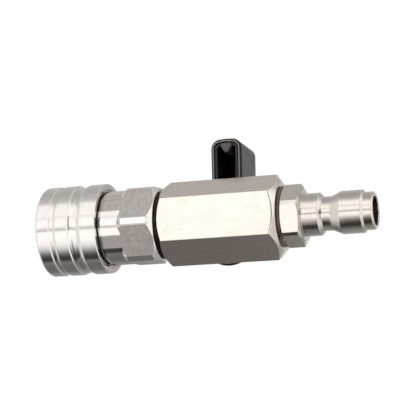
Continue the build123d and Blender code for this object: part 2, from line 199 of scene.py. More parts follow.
def loftMesh(name, loops):
    # loops are equal rings of points; neighbours are joined, and both ends are closed
    work = bmesh.new()
    rings = [[work.verts.new(point) for point in loop] for loop in loops]
    count = len(rings[0])
    for low, high in zip(rings, rings[1:]):
        for k in range(count):
            work.faces.new((low[k], low[(k + 1) % count], high[(k + 1) % count], high[k]))
    work.faces.new(list(reversed(rings[0])))
    work.faces.new(rings[-1])
    bmesh.ops.recalc_face_normals(work, faces=work.faces)
    mesh = bpy.data.meshes.new(name)
    work.to_mesh(mesh)
    work.free()
    return mesh


def cutterAbout(axis, name, points, sides=48):
    # a cutter of revolution from (height, radius) points; axis is a matrix that turns Z to its own
    circle = [(math.cos(k * math.tau / sides), math.sin(k * math.tau / sides)) for k in range(sides)]
    mesh = loftMesh(name, [[(radius * x, radius * y, height) for x, y in circle]
                           for height, radius in points])
    mesh.transform(axis)
    mesh.transform(Matrix.Scale(mm, 4))
    return addObject(name, mesh)


def cutOut(piece, cutters):
    # takes the cutters out of the piece's mesh, before the piece is given to its body
    piece.modifiers.clear()
    for cutter in cutters:
        modifier = piece.modifiers.new("cut", "BOOLEAN")
        modifier.operation = "DIFFERENCE"
        modifier.solver = "EXACT"
        modifier.object = cutter
    keepShape(piece)
    for cutter in cutters:
        bpy.data.objects.remove(cutter)
    evenShading(piece)


alongY = Matrix.Rotation(math.radians(-90), 4, "X")


# finishes, each named for the real material

def linear(hexColour):
    # a colour written as sRGB hex, in linear light
    channels = []
    for place in (1, 3, 5):
        value = int(hexColour[place:place + 2], 16) / 255
        channels.append(value / 12.92 if value <= 0.04045 else ((value + 0.055) / 1.055) ** 2.4)
    return (*channels, 1.0)


def addNode(tree, kind, inputs=None, **settings):
    # inputs maps a socket's name or number to a value or to another node's output
    node = tree.nodes.new(kind)
    for key, value in settings.items():
        setattr(node, key, value)
    for key, value in (inputs or {}).items():
        if isinstance(value, bpy.types.NodeSocket):
            tree.links.new(value, node.inputs[key])
        else:
            node.inputs[key].default_value = value
    return node


def newMaterial(name):
    material = bpy.data.materials.new(name)
    material.use_nodes = True
    material.node_tree.nodes.clear()
    return material, material.node_tree


def inMillimetres(tree, stretch=(1, 1, 1)):
    # object coordinates in millimetres, multiplied by a stretch for each axis
    place = addNode(tree, "ShaderNodeTexCoord")
    scaled = addNode(tree, "ShaderNodeVectorMath", {0: place.outputs["Object"],
                     1: tuple(1000 * s for s in stretch)}, operation="MULTIPLY")
    return scaled.outputs[0]


def machinedSteel(name, colour, grain, roughness, marks, marksHeight, mottle):
    # turned or drawn steel; grain and marks say how often tool marks and specks change in a millimetre
    # along X, Y and Z, so that the marks run along the axes with the small numbers
    material, tree = newMaterial(name)
    fine = addNode(tree, "ShaderNodeTexNoise", {"Vector": inMillimetres(tree, grain), "Scale": 1.0,
                   "Detail": 2.0, "Roughness": 0.55})
    broadGrain = tuple(g * 0.3 for g in grain)
    broad = addNode(tree, "ShaderNodeTexNoise", {"Vector": inMillimetres(tree, broadGrain), "Scale": 1.0,
                    "Detail": 1.0})
    height = addNode(tree, "ShaderNodeMath", {0: fine.outputs[0], 1: broad.outputs[0]}, operation="ADD")
    bump = addNode(tree, "ShaderNodeBump", {"Height": height.outputs[0], "Strength": 1.0,
                   "Distance": marksHeight * mm})
    cloud = addNode(tree, "ShaderNodeTexNoise", {"Vector": inMillimetres(tree), "Scale": 0.35,
                    "Detail": 3.0})
    shine = addNode(tree, "ShaderNodeMapRange", {0: cloud.outputs[0], 1: 0.3, 2: 0.7,
                    3: roughness[0], 4: roughness[1]})
    specks = addNode(tree, "ShaderNodeTexNoise", {"Vector": inMillimetres(tree, marks), "Scale": 1.0,
                     "Detail": 3.0})
    tone = addNode(tree, "ShaderNodeMapRange", {0: specks.outputs[0], 1: 0.35, 2: 0.65,
                   3: 1 - mottle, 4: 1 + mottle})
    base = addNode(tree, "ShaderNodeVectorMath", {0: linear(colour)[:3], "Scale": tone.outputs[0]},
                   operation="SCALE")
    shader = addNode(tree, "ShaderNodeBsdfPrincipled", {"Base Color": base.outputs[0], "Metallic": 1.0,
                     "Roughness": shine.outputs[0], "Normal": bump.outputs[0]})
    addNode(tree, "ShaderNodeOutputMaterial", {0: shader.outputs[0]})
    return material


def mouldedPolymer(name, colour, roughness, grainSize, grainHeight, mottle=0.05, specular=0.5, rubbed=None):
    # moulded plastic or rubber: even colour, fine spark-eroded grain, and where asked a grey band painted
    # on as a highlight
    material, tree = newMaterial(name)
    grain = addNode(tree, "ShaderNodeTexNoise", {"Vector": inMillimetres(tree), "Scale": 1 / grainSize,
                    "Detail": 3.0, "Roughness": 0.6})
    bump = addNode(tree, "ShaderNodeBump", {"Height": grain.outputs[0], "Strength": 1.0,
                   "Distance": grainHeight * mm})
    cloud = addNode(tree, "ShaderNodeTexNoise", {"Vector": inMillimetres(tree), "Scale": 0.25,
                    "Detail": 2.0})
    tone = addNode(tree, "ShaderNodeMapRange", {0: cloud.outputs[0], 1: 0.3, 2: 0.7,
                   3: 1 - mottle, 4: 1 + mottle})
    base = addNode(tree, "ShaderNodeVectorMath", {0: linear(colour)[:3], "Scale": tone.outputs[0]},
                   operation="SCALE")
    if rubbed:
        # painted highlight: paler up to the low Y place, in millimetres, and none from the high one on
        worn, low, high = rubbed
        height = addNode(tree, "ShaderNodeSeparateXYZ", {0: inMillimetres(tree)})
        share = addNode(tree, "ShaderNodeMapRange", {0: height.outputs[1], 1: high, 2: low, 3: 0.0, 4: 1.0},
                        interpolation_type="SMOOTHSTEP")
        patchy = addNode(tree, "ShaderNodeMath", {0: share.outputs[0], 1: tone.outputs[0]},
                         operation="MULTIPLY")
        base = addNode(tree, "ShaderNodeMix", {"Factor": patchy.outputs[0], 6: base.outputs[0],
                       7: linear(worn)}, data_type="RGBA")
    shine = addNode(tree, "ShaderNodeMapRange", {0: cloud.outputs[0], 1: 0.3, 2: 0.7,
                    3: roughness[0], 4: roughness[1]})
    shader = addNode(tree, "ShaderNodeBsdfPrincipled", {"Base Color": base.outputs[2 if rubbed else 0],
                     "Roughness": shine.outputs[0], "Specular IOR Level": specular,
                     "Normal": bump.outputs[0]})
    addNode(tree, "ShaderNodeOutputMaterial", {0: shader.outputs[0]})
    return material


# nickel plating over a bright drawn hexagon bar: warm mirror flats with faint lines along the bar
nickelFlat = machinedSteel("nickel plated drawn flat", "#D2C8BF", (0.05, 4.0, 4.0), (0.13, 0.19),
                           (0.10, 0.5, 0.5), 0.0012, 0.035)
# the same plating over turned faces and chamfers: tool rings round the axis
nickelTurned = machinedSteel("nickel plated turned face", "#D6CFC8", (5.0, 0.3, 0.3), (0.15, 0.22),
                             (3.0, 1.0, 1.0), 0.0012, 0.02)
# turned stainless steel: neutral and bright, rings drawn 0.5 mm apart, coarser than real, so that they show
stainlessTurned = machinedSteel("turned stainless steel", "#D8D3CF", (2.0, 0.08, 0.08), (0.09, 0.14),
                                (1.6, 0.3, 0.3), 0.003, 0.04)
# painted shade: the plug's turned stainless is a darker copy of the sleeve's, standing for the dimmer light
# on the plug
plugTurned = machinedSteel("turned stainless plug", "#CDC6BE", (2.0, 0.1, 0.1), (0.09, 0.13),
                           (1.6, 0.4, 0.4), 0.0012, 0.05)
# drilled bore of the plug, painted shade: its dark warm brown colour stands for the shade inside the hole,
# a little lighter at its far wall
stainedBore = machinedSteel("stained drilled bore", "#5C483C", (2.0, 0.3, 0.3), (0.45, 0.60),
                            (1.2, 0.5, 0.5), 0.001, 0.15)
# the plug's hexagon flats: bright drawn stainless with faint lines along the bar
stainlessBright = machinedSteel("bright drawn stainless flat", "#D4CEC7", (0.06, 3.5, 3.5), (0.12, 0.18),
                                (1.0, 2.5, 2.5), 0.0016, 0.03)
# stainless hexagon bar as drawn and pickled: a dull mottled grey with no direction
stainlessFlat = machinedSteel("drawn stainless flat", "#AFA9A5", (3.0, 0.4, 0.4), (0.20, 0.30),
                              (2.0, 0.5, 0.5), 0.005, 0.14)
# zinc plated screw, washer and pin: pale and a little blue, softly dull
zincPlated = machinedSteel("zinc plated steel", "#C4C7CA", (2.0, 2.0, 2.0), (0.28, 0.40),
                           (1.5, 1.5, 1.5), 0.002, 0.06)
# oiled spring steel: dark grey, satin
springSteel = machinedSteel("oiled spring steel", "#6F6C68", (2.5, 2.5, 2.5), (0.30, 0.42),
                            (1.5, 1.5, 1.5), 0.003, 0.08)
# lapped hard chrome ball and bearing balls: near mirror
polishedBall = machinedSteel("lapped chrome steel ball", "#DCDAD8", (1.0, 1.0, 1.0), (0.04, 0.08),
                             (1.0, 1.0, 1.0), 0.0002, 0.01)
# glass filled nylon, moulded black: faint grain, with a painted highlight: a grey band painted on the crest
# of the handle's rim
blackNylon = mouldedPolymer("black moulded nylon", "#141117", (0.30, 0.40), 0.35, 0.010, 0.08, 0.34,
                            ("#7E7671", 16.03, 16.14))
# a darker, duller copy of the same nylon, painted shade for the dark bands beside the rim's highlight:
# takes hardly any light
mattNylon = mouldedPolymer("matt edge of black nylon", "#0A090A", (0.55, 0.65), 0.35, 0.010, 0.08, 0.12)
# nylon of the web in the hollow, painted grey: a painted highlight where the lever's end wall catches the
# light
scuffedNylon = mouldedPolymer("scuffed nylon web", "#4A4446", (0.35, 0.50), 0.30, 0.030, 0.30, 0.5)
# nitrile rubber: black and matt
nitrile = mouldedPolymer("black nitrile rubber", "#191614", (0.50, 0.62), 0.25, 0.012, 0.10, 0.4)
# acetal seats and thrust washer: ivory white, waxy
acetal = mouldedPolymer("ivory acetal", "#E6E1D6", (0.30, 0.40), 0.5, 0.004, 0.03, 0.5)
# cured thread sealant: brown resin squeezed out of the thread
sealant = mouldedPolymer("cured thread sealant", "#5E4B33", (0.30, 0.50), 0.9, 0.05, 0.35, 0.5)
# painted shade: a nearly black sealant that stands for the shade in the inlet joint's narrow gap
darkSealant = mouldedPolymer("thick thread sealant", "#1A110C", (0.40, 0.60), 0.9, 0.05, 0.35, 0.3)
print("materials made")


# helpers for Geometry Nodes trees

def nodeTree(name, sockets):
    # an empty tree with a mesh in and out and the named inputs; gives both ends too
    tree = bpy.data.node_groups.new(name, "GeometryNodeTree")
    tree.interface.new_socket("Geometry", in_out="INPUT", socket_type="NodeSocketGeometry")
    tree.interface.new_socket("Geometry", in_out="OUTPUT", socket_type="NodeSocketGeometry")
    for label, kind in sockets.items():
        tree.interface.new_socket(label, in_out="INPUT", socket_type=kind)
    return tree, tree.nodes.new("NodeGroupInput"), tree.nodes.new("NodeGroupOutput")


def closeTree(tree, output, geometry, material):
    # every tree ends the same way: smooth, real geometry, with its material
    smooth = addNode(tree, "GeometryNodeSetShadeSmooth", {"Geometry": geometry})
    real = addNode(tree, "GeometryNodeRealizeInstances", {"Geometry": smooth.outputs[0]})
    painted = addNode(tree, "GeometryNodeSetMaterial", {"Geometry": real.outputs[0], "Material": material})
    tree.links.new(painted.outputs[0], output.inputs[0])


def growPiece(name, tree, values, startMesh=None):
    # runs a tree on a mesh and keeps the result as a plain mesh
    piece = addObject(name, startMesh or bpy.data.meshes.new(name))
    modifier = piece.modifiers.new("grow", "NODES")
    modifier.node_group = tree
    for item in tree.interface.items_tree:
        if item.in_out == "INPUT" and item.name in values:
            modifier[item.identifier] = values[item.name]
    keepShape(piece)
    return piece


def faceOutwards(piece):
    # joins doubled points and turns every face outwards
    work = bmesh.new()
    work.from_mesh(piece.data)
    bmesh.ops.remove_doubles(work, verts=work.verts, dist=1e-6)
    bmesh.ops.recalc_face_normals(work, faces=work.faces)
    work.to_mesh(piece.data)
    work.free()


# valve body: hexagon bar with turned ends, bored for ball, seats and stem

bodySize = {
    "acrossFlats": 30.0, "cornerRound": 0.35, "inlet": -21.0, "outlet": 28.4,
    "faceRadius": 13.7, "chamferAngle": 33.0, "port": 8.4, "portFloor": -11.3, "passage": 5.5,
    "cavity": 9.0, "seatBack": 9.65, "shoulder": 11.25, "retainerBore": 12.0,
    "stemHole": 3.55, "flangeHole": 4.55, "flangeHoleTop": 11.0,
    "pinHole": 1.3, "pinPlace": -5.374, "pinHoleFloor": 11.0,
    "cutFrom": 4.0, "cutTo": 16.0,  # the stem's bore is cut from inside the cavity to outside the flat
    "flatDepth": 0.5, "flatLean": 0.15,  # how deep and how tilted a face still counts as a drawn flat
}


def bodySection(angle):
    s = bodySize
    side = hexRadius(angle, s["acrossFlats"], s["cornerRound"], 0)
    run = (side - s["faceRadius"]) * math.tan(math.radians(s["chamferAngle"]))
    return [
        (s["inlet"], s["faceRadius"], 0.14), (s["inlet"] + run, side, 0.22),
        (s["outlet"] - run, side, 0.8), (s["outlet"], s["faceRadius"], 0.2),
        (s["outlet"], s["retainerBore"], 0.25), (s["shoulder"], s["retainerBore"], 0),
        (s["shoulder"], s["cavity"], 0), (-s["seatBack"], s["cavity"], 0),
        (-s["seatBack"], s["passage"], 0), (s["portFloor"], s["passage"], 0),
        (s["portFloor"], s["port"], 0), (s["inlet"], s["port"], 0.3),
    ]


def bodyFinish(centre, normal):
    s = bodySize
    nearFlat = s["acrossFlats"] / 2 - s["flatDepth"]
    return 0 if abs(normal.x) < s["flatLean"] and math.hypot(centre.y, centre.z) > nearFlat else 1


mesh = spunMesh("valveBody", bodySection, angleSteps())
valveBody = finishMesh("valveBody", mesh, [nickelFlat, nickelTurned], bodyFinish)
stemCutter = cutterAbout(alongY, "stemCutter", [
    (bodySize["cutFrom"], bodySize["flangeHole"]), (bodySize["flangeHoleTop"], bodySize["flangeHole"]),
    (bodySize["flangeHoleTop"], bodySize["stemHole"]), (bodySize["cutTo"], bodySize["stemHole"])])
pinSpot = Matrix.Translation((bodySize["pinPlace"], 0, bodySize["pinPlace"]))
pinCutter = cutterAbout(pinSpot @ alongY, "pinCutter", [
    (bodySize["pinHoleFloor"], bodySize["pinHole"]), (bodySize["cutTo"], bodySize["pinHole"])], 24)
cutOut(valveBody, [stemCutter, pinCutter])
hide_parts("valve_body")
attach(valveBody, "housing")
print("valve body made")


# coupler body: hexagon bar turned down in two steps, then the socket barrel

couplerSize = {
    "acrossFlats": 30.0, "cornerRound": 0.3, "end": -22.1, "large": 16.5, "step": -36.0,
    "small": 15.25, "stepLead": 1.1, "stepChamfer": 0.9, "endRadius": 14.7, "endChamfer": 2.1,
    "barrelRoot": -53.1, "barrel": 11.2, "mouth": -71.5, "mouthChamfer": 0.5,
    "thread": 8.35, "threadEnd": -12.1, "threadBevel": 1.0, "passage": 5.5,
    "socket": 8.75, "noseSeat": -50.0, "noseBore": 7.7, "noseFloor": -45.4,
    "ringGroove": (-48.9, -46.8, 9.45), "relief": (-61.7, -60.7, 9.15),
    "snapGroove": (-70.3, -69.05, 10.35),
    "balls": 6, "ballPlace": -64.3, "ballHole": 2.1, "ballLip": 1.94, "ballTaperEnd": 9.475,
    "cutFrom": 8.0, "cutTo": 12.0,  # the ball holes are cut from inside the socket to outside the barrel
    "runOut": 0.05,  # how softly the turned cut runs out into a flat
    "flatDepth": 0.06, "flatLean": 0.1,  # how deep and how tilted a face still counts as a flat
}


def couplerSection(angle):
    s = couplerSize
    side = hexRadius(angle, s["acrossFlats"], s["cornerRound"], 30)
    large = smoothMin(side, s["large"], s["runOut"])
    small = smoothMin(side, s["small"], s["runOut"])
    rise = (large - small) / (s["large"] - s["small"])
    fall = (large - s["endRadius"]) / (s["large"] - s["endRadius"])
    groove, relief, snap = s["ringGroove"], s["relief"], s["snapGroove"]
    return [
        (s["barrelRoot"], s["barrel"], 0), (s["barrelRoot"], small, 0.2),
        (s["step"] - s["stepLead"] * rise, small, 0.12),
        (s["step"] + s["stepChamfer"] * rise, large, 0.15),
        (s["end"] - s["endChamfer"] * fall, large, 0.18), (s["end"], s["endRadius"], 0.14),
        (s["end"], s["thread"], 0), (s["threadEnd"] - s["threadBevel"], s["thread"], 0),
        (s["threadEnd"], s["thread"] - s["threadBevel"], 0), (s["threadEnd"], s["passage"], 0),
        (s["noseFloor"], s["passage"], 0.3), (s["noseFloor"], s["noseBore"], 0),
        (groove[1], s["noseBore"], 0.1), (groove[1], groove[2], 0), (groove[0], groove[2], 0),
        (groove[0], s["noseBore"], 0.1), (s["noseSeat"], s["noseBore"], 0.15),
        (s["noseSeat"], s["socket"], 0), (relief[1], s["socket"], 0.08), (relief[1], relief[2], 0.1),
        (relief[0], relief[2], 0.1), (relief[0], s["socket"], 0.08),
        (s["mouth"] + s["mouthChamfer"], s["socket"], 0.1),
        (s["mouth"], s["socket"] + s["mouthChamfer"], 0.1),
        (s["mouth"], s["barrel"] - s["mouthChamfer"], 0.1),
        (s["mouth"] + s["mouthChamfer"], s["barrel"], 0.1), (snap[0], s["barrel"], 0.08),
        (snap[0], snap[2], 0), (snap[1], snap[2], 0), (snap[1], s["barrel"], 0.08),
    ]


def couplerFinish(centre, normal):
    s = couplerSize
    if centre.x < s["barrelRoot"] or abs(normal.x) > s["flatLean"]:
        return 0
    angle = math.degrees(math.atan2(centre.z, centre.y))
    flat = math.radians(round((angle - 30) / 60) * 60 + 30)
    depth = centre.y * math.cos(flat) + centre.z * math.sin(flat)
    return 1 if abs(depth - s["acrossFlats"] / 2) < s["flatDepth"] else 0


# a flat ends where the turned radius meets it, at an angle from the flat's middle
flatEdges = tuple(math.degrees(math.acos(couplerSize["acrossFlats"] / 2 / couplerSize[cut]))
                  for cut in ("large", "small"))
mesh = spunMesh("couplerBody", couplerSection, angleSteps(30, 3.0, flatEdges))
couplerBody = finishMesh("couplerBody", mesh, [stainlessTurned, stainlessFlat], couplerFinish)
holes = []
for index in range(couplerSize["balls"]):
    turn = Matrix.Rotation(index * math.tau / couplerSize["balls"], 4, "X")
    spot = Matrix.Translation((couplerSize["ballPlace"], 0, 0)) @ turn @ alongY
    holes.append(cutterAbout(spot, "ballCutter", [
        (couplerSize["cutFrom"], couplerSize["ballLip"]), (couplerSize["socket"], couplerSize["ballLip"]),
        (couplerSize["ballTaperEnd"], couplerSize["ballHole"]),
        (couplerSize["cutTo"], couplerSize["ballHole"])], 32))
cutOut(couplerBody, holes)
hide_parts("coupler_body")
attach(couplerBody, "housing")
print("coupler body made")


# coupler sleeve: turned, with two grooves round it, a collar at its rear mouth and a cone inside

sleeveSize = {
    "front": -71.8, "rim": -45.5, "outer": 18.5, "rimInner": 16.45, "rimDepth": 1.7,
    "chamber": 15.4, "landEnd": -62.0, "land": 11.4, "pocket": 15.6, "stopFace": -69.05,
    "coneStart": 12.85, "coneEnd": -59.3, "endAxial": 1.3, "endRadial": 1.8, "edge": 0.18,
    "rimEdge": 0.32, "ringFront": 6.1, "grooveFront": 2.9, "grooveFrontDepth": 0.62, "grooveFrontLow": 1.4,
    "ringMiddle": 5.3, "grooveRear": 5.4, "grooveRearDepth": 0.8, "grooveRearLow": 2.2,
    "shoulderDepth": 0.5, "shoulderRun": 0.3,  # the straight drop at the front of each groove
    "endBulge": (0.35, 0.28),  # shares of the rounded end's length and depth that its middle point is at
}


def arcPoints(first, middle, last, count):
    # points on the circle through three (x, radius) places, without the first one
    (ax, ay), (bx, by), (cx, cy) = first, middle, last
    d = 2 * (ax * (by - cy) + bx * (cy - ay) + cx * (ay - by))
    squares = (ax * ax + ay * ay, bx * bx + by * by, cx * cx + cy * cy)
    ux = (squares[0] * (by - cy) + squares[1] * (cy - ay) + squares[2] * (ay - by)) / d
    uy = (squares[0] * (cx - bx) + squares[1] * (ax - cx) + squares[2] * (bx - ax)) / d
    start, mid, end = (math.atan2(y - uy, x - ux) for x, y in (first, middle, last))
    sweep = (end - start) % math.tau
    if (mid - start) % math.tau > sweep:
        sweep -= math.tau
    radius = math.hypot(ax - ux, ay - uy)
    turns = [start + sweep * k / count for k in range(1, count + 1)]
    return [(ux + radius * math.cos(turn), uy + radius * math.sin(turn), 0) for turn in turns]


def sleeveSection():
    s = sleeveSize
    outer = s["outer"]
    grooveOne = s["front"] + s["ringFront"]
    ringTwo = grooveOne + s["grooveFront"]
    grooveTwo = ringTwo + s["ringMiddle"]
    ringThree = grooveTwo + s["grooveRear"]
    face = (s["front"], outer - s["endRadial"])
    bulgeAlong, bulgeDown = s["endBulge"]
    bulge = (s["front"] + bulgeAlong * s["endAxial"], outer - bulgeDown * s["endRadial"])
    loop = [(*face, 0)] + arcPoints(face, bulge, (s["front"] + s["endAxial"], outer), 8)
    grooves = ((grooveOne, grooveOne + s["grooveFrontLow"], outer - s["grooveFrontDepth"], ringTwo, 6),
               (grooveTwo, grooveTwo + s["grooveRearLow"], outer - s["grooveRearDepth"], ringThree, 12))
    for groove, lowPlace, low, ring, steps in grooves:
        drop = (groove + s["shoulderRun"], outer - s["shoulderDepth"])
        loop += [(groove - s["edge"], outer, 0.05), (groove, outer - s["edge"], 0.05), (*drop, 0.06)]
        loop += arcPoints(drop, (lowPlace, low), (ring, outer), steps)
        loop[-1] = (ring, outer, 0.15)
    loop += [
        (s["rim"] - s["rimEdge"], outer, 0.08), (s["rim"], outer - s["rimEdge"], 0.08),
        (s["rim"], s["rimInner"], 0.2), (s["rim"] - s["rimDepth"], s["rimInner"], 0.1),
        (s["rim"] - s["rimDepth"], s["chamber"], 0.1), (s["landEnd"], s["chamber"], 0),
        (s["landEnd"], s["land"], 0.1), (s["coneEnd"], s["land"], 0), (s["stopFace"], s["coneStart"], 0.1),
        (s["stopFace"], s["pocket"], 0), (s["front"], s["pocket"], 0.15),
    ]
    return loop


# the lathe's rule as a tree: a closed section (x along the axis, y its radius) is spun round X
latheTree, latheIn, latheOut = nodeTree("spunSection", {
    "Segments": "NodeSocketInt", "Material": "NodeSocketMaterial"})
sectionSize = addNode(latheTree, "GeometryNodeAttributeDomainSize", {
    "Geometry": latheIn.outputs["Geometry"]})
sectionPoints = sectionSize.outputs["Point Count"]
across = addNode(latheTree, "ShaderNodeMath", {0: sectionPoints, 1: 1.0}, operation="ADD")
around = addNode(latheTree, "ShaderNodeMath", {0: latheIn.outputs["Segments"], 1: 1.0}, operation="ADD")
sheet = addNode(latheTree, "GeometryNodeMeshGrid", {"Vertices X": around.outputs[0],
                "Vertices Y": across.outputs[0]})
vertexNumber = addNode(latheTree, "GeometryNodeInputIndex")
# a grid vertex's number gives its turn round the axis and its place along the section
ratio = addNode(latheTree, "ShaderNodeMath", {0: vertexNumber.outputs[0], 1: across.outputs[0]},
                operation="DIVIDE")
turnNumber = addNode(latheTree, "ShaderNodeMath", {0: ratio.outputs[0]}, operation="FLOOR")
place = addNode(latheTree, "ShaderNodeMath", {0: vertexNumber.outputs[0], 1: across.outputs[0]},
                operation="MODULO")
wrapped = addNode(latheTree, "ShaderNodeMath", {0: place.outputs[0], 1: sectionPoints}, operation="MODULO")
turned = addNode(latheTree, "ShaderNodeMath", {0: turnNumber.outputs[0], 1: math.tau}, operation="MULTIPLY")
spunAngle = addNode(latheTree, "ShaderNodeMath", {0: turned.outputs[0], 1: latheIn.outputs["Segments"]},
                    operation="DIVIDE")
where = addNode(latheTree, "GeometryNodeInputPosition")
picked = addNode(latheTree, "GeometryNodeSampleIndex", {"Geometry": latheIn.outputs["Geometry"],
                 "Index": wrapped.outputs[0]}, data_type="FLOAT_VECTOR")
vectorSocket = [socket for socket in picked.inputs if socket.name == "Value" and socket.enabled][0]
latheTree.links.new(where.outputs[0], vectorSocket)
parts = addNode(latheTree, "ShaderNodeSeparateXYZ", {0: [o for o in picked.outputs if o.enabled][0]})
cosine = addNode(latheTree, "ShaderNodeMath", {0: spunAngle.outputs[0]}, operation="COSINE")
sine = addNode(latheTree, "ShaderNodeMath", {0: spunAngle.outputs[0]}, operation="SINE")
outY = addNode(latheTree, "ShaderNodeMath", {0: parts.outputs[1], 1: cosine.outputs[0]},
               operation="MULTIPLY")
outZ = addNode(latheTree, "ShaderNodeMath", {0: parts.outputs[1], 1: sine.outputs[0]},
               operation="MULTIPLY")
spun = addNode(latheTree, "ShaderNodeCombineXYZ", {
    0: parts.outputs[0], 1: outY.outputs[0], 2: outZ.outputs[0]})
placed = addNode(latheTree, "GeometryNodeSetPosition", {
    "Geometry": sheet.outputs[0], "Position": spun.outputs[0]})
welded = addNode(latheTree, "GeometryNodeMergeByDistance", {
    "Geometry": placed.outputs[0], "Distance": 1e-6})
closeTree(latheTree, latheOut, welded.outputs[0], latheIn.outputs["Material"])


def sectionMesh(name, corners, steps=4, nearest=0.004):
    # the section's rounded loop as bare points, none nearer the last than so many millimetres
    points = roundedLoop([(Vector((x, r, 0)), rounding) for x, r, rounding in corners], steps)
    kept = [points[0]]
    for point in points[1:]:
        if (point - kept[-1]).length > nearest:
            kept.append(point)
    mesh = bpy.data.meshes.new(name)
    mesh.from_pydata([(p.x * mm, p.y * mm, 0) for p in kept], [], [])
    return mesh


sleeve = growPiece("couplerSleeve", latheTree, {"Segments": 288, "Material": stainlessTurned},
                   sectionMesh("couplerSleeve", sleeveSection()))
faceOutwards(sleeve)
evenShading(sleeve)
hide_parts("coupler_sleeve")
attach(sleeve, "sleeve")
print("sleeve made with", len(sleeve.data.polygons), "faces")


# plug: hexagon bar turned to a rear land, neck, front land and nose

plugSize = {
    "acrossFlats": 22.6, "cornerRound": 0.3, "corners": 12.61, "turn": 11.75, "flatEdge": 26.35,
    "start": 29.5, "end": 37.4, "rearRadius": 11.0, "rearAngle": 20.0, "faceRadius": 10.2,
    "chamferAngle": 22.0, "land": 8.6, "rearLandEnd": 43.85, "foot": 0.35,
    "neckStart": 45.35, "neck": 6.85, "neckEnd": 48.65, "landStart": 52.65, "landEnd": 61.1,
    "nose": 7.55, "noseStart": 61.95, "tip": 65.8, "tipBevel": 0.55, "bore": 5.8, "mouthRound": 0.6,
    "thread": 8.35, "threadStart": 17.4, "threadBevel": 1.0, "runOut": 0.04,
    "flatFrom": 11.0, "flatDepth": 0.05, "flatLean": 0.1, "boreDepth": 0.02,  # what counts as flat or bore
}


def plugSection(angle):
    s = plugSize
    side = hexRadius(angle, s["acrossFlats"], s["cornerRound"], s["turn"])
    side = smoothMin(side, s["corners"], s["runOut"])
    rearRun = (side - s["rearRadius"]) * math.tan(math.radians(s["rearAngle"]))
    run = (side - s["faceRadius"]) * math.tan(math.radians(s["chamferAngle"]))
    return [
        (s["threadStart"], s["bore"], 0.2), (s["threadStart"], s["thread"] - s["threadBevel"], 0),
        (s["threadStart"] + s["threadBevel"], s["thread"], 0), (s["start"], s["thread"], 0),
        (s["start"], s["rearRadius"], 0.1), (s["start"] + rearRun, side, 0.15),
        (s["end"] - run, side, 0.2), (s["end"], s["faceRadius"], 0.12),
        (s["end"], s["land"], s["foot"]), (s["rearLandEnd"], s["land"], 0.18),
        (s["neckStart"], s["neck"], 0.35), (s["neckEnd"], s["neck"], 0.5),
        (s["landStart"], s["land"], 0.3), (s["landEnd"], s["land"], 0.18),
        (s["noseStart"], s["nose"], 0.12), (s["tip"] - s["tipBevel"], s["nose"], 0.2),
        (s["tip"], s["nose"] - s["tipBevel"], 0.2), (s["tip"], s["bore"], s["mouthRound"]),
    ]


def plugFinish(centre, normal):
    s = plugSize
    out = math.hypot(centre.y, centre.z)
    # faces in the bore get the dark brown steel, which is painted shade of the hole
    if out < s["bore"] + s["boreDepth"]:
        return 2
    onFlat = s["start"] < centre.x < s["end"] and s["flatFrom"] < out < s["corners"] - s["flatDepth"]
    return 1 if onFlat and abs(normal.x) < s["flatLean"] else 0


plugAngles = angleSteps(plugSize["turn"], 2.5, (plugSize["flatEdge"],))
mesh = spunMesh("outletPlug", plugSection, plugAngles, 4)
# the plug's turned steel is painted darker for the dimmer light on it
outletPlug = finishMesh("outletPlug", mesh, [plugTurned, stainlessBright, stainedBore], plugFinish)
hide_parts("plug")
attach(outletPlug, "housing")
print("plug made")


# handle: hollow moulded lever, open towards the body

handleSize = {
    "rim": 16.0, "back": 40.3, "webFront": 37.7, "top": 37.1, "tipWidth": 13.25, "rootWidth": 13.0,
    "cornerRadius": 4.0, "dome": 0.7, "wall": 2.7, "draft": 1.9, "backRadius": 1.0,
    "hub": 12.0, "hubTail": 4.2, "blend": 3.0, "skirtBack": 18.3, "skirtFloor": 17.1,
    "rimRound": 0.7, "crest": (0.75, 1.3), "crestFoot": (0.12, 0.25), "trench": 1.7,
    "trenchFloor": 16.9, "trenchLean": 0.05, "ledge": 0.45, "boss": 5.6, "bossFace": 16.9,
    "socket": 3.6, "socketFlats": 2.6, "socketEnd": 31.5, "screwHole": 2.2, "pocket": 4.3,
    "pocketFloor": 36.7, "leastCorner": 0.5, "leastDrafted": 0.15,
    # where the nylon gets the darker, duller copy as painted shade: on the round outside the rim, and in
    # the trench, but not on the ledge
    "shadeFrom": 0.14, "shadePast": 0.1, "shadeLean": -0.15, "trenchWall": 0.12, "trenchPast": 0.02,
    "ledgeNear": 0.06,
}
ribSize = {"thickness": 2.2, "angles": (243.4, 116.6), "reach": (5.0, 9.7), "behindRim": 0.05,
           "edgeRound": 0.35, "edgeBevel": 0.1, "rooted": 0.3}
gussetSize = {
    "half": 2.5, "top": 35.1, "point": 31.3, "pointHalf": 0.7, "shoulder": (0.9, 1.3), "face": 16.1,
    "steps": ((0, 0.75), (0.15, 0.93), (0.5, 1.0)),  # depth from the face, and share of the size there
    "rooted": 0.2, "rootShare": 1.05,
}


def arcBetween(centre, radius, start, end, count):
    turns = [start + (end - start) * k / count for k in range(count + 1)]
    return [centre + Vector((radius * math.cos(turn), radius * math.sin(turn))) for turn in turns]


